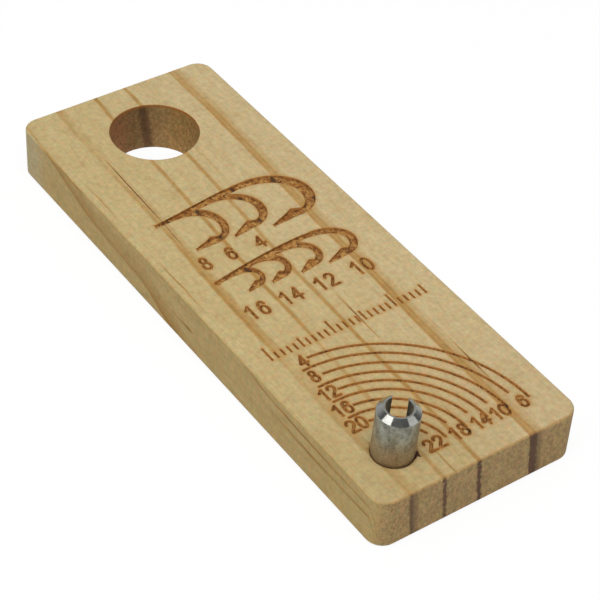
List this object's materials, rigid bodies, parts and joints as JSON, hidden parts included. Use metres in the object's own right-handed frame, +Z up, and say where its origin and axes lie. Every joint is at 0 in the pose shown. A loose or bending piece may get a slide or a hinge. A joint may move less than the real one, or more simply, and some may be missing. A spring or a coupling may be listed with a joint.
{
  "type": "fly tying hook and hackle gauge",
  "caption": "Flat wooden pocket gauge with a slotted steel pin, concentric barb-length arcs, engraved fish hook outlines and a round hole for hanging it on a tying stand.",
  "frame": {"origin": "middle of the block's underside", "axes": "+X across the block's width, +Y along its length towards the round hole, +Z up out of the engraved face"},
  "size_m": [0.0318, 0.0888, 0.0158],
  "materials": {
    "wood": "bare, sanded, with burnt engraving",
    "steel": "dull grey"
  },
  "bodies": {
    "root": {"wood_block": "wood", "roll_pin": "steel"}
  },
  "joints": []
}
